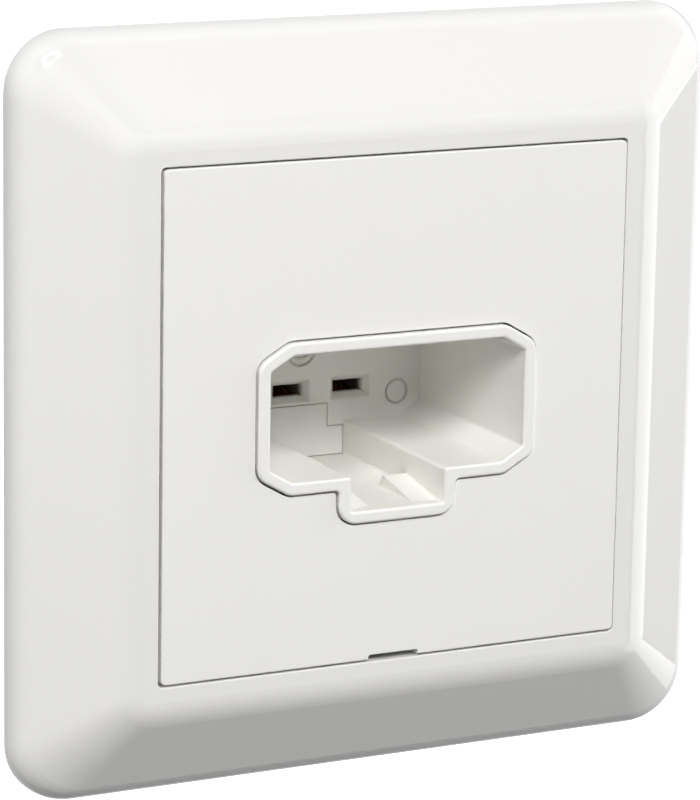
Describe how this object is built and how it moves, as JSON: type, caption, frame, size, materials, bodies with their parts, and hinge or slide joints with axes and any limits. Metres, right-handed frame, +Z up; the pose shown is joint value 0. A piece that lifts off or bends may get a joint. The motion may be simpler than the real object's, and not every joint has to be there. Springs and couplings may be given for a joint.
{
  "type": "lighting connection outlet",
  "caption": "Flush wall outlet for a luminaire's plug: a bevelled square frame, a flat centre plate and a deep keyed socket with blade slots.",
  "frame": {"origin": "on the wall plane, midway between the two box screws, behind the centre of the centre plate", "axes": "+X to the right and +Z up as seen from the room, +Y into the wall"},
  "size_m": [0.085, 0.0449, 0.085],
  "materials": {
    "gloss_white_plastic": "gloss, as moulded",
    "satin_white_plastic": "fine satin grain",
    "socket_plastic": "semi-gloss, as moulded",
    "terminal_plastic": "matt, as moulded",
    "zinc_plated_steel": "bright zinc plating",
    "brass": "rolled strip",
    "spring_bronze": "rolled strip",
    "spring_steel": "bright rolled strip",
    "screw_steel": "zinc plated"
  },
  "bodies": {
    "root": {"cover_frame": "gloss_white_plastic", "centre_plate": "satin_white_plastic", "socket_shell": "socket_plastic", "mounting_plate": "zinc_plated_steel", "terminal_base": "terminal_plastic", "rear_cover": "terminal_plastic", "busbar_neutral": "brass", "busbar_earth": "brass", "busbar_line": "brass", "contact_jaw_neutral": "spring_bronze", "contact_jaw_earth": "spring_bronze", "contact_jaw_line": "spring_bronze", "jaw_rivets": "brass", "clamp_spring_neutral_upper": "spring_steel", "clamp_spring_neutral_lower": "spring_steel", "clamp_spring_earth_upper": "spring_steel", "clamp_spring_earth_lower": "spring_steel", "clamp_spring_line_upper": "spring_steel", "clamp_spring_line_lower": "spring_steel", "plate_screws": "screw_steel", "cover_screws": "screw_steel"}
  },
  "joints": []
}
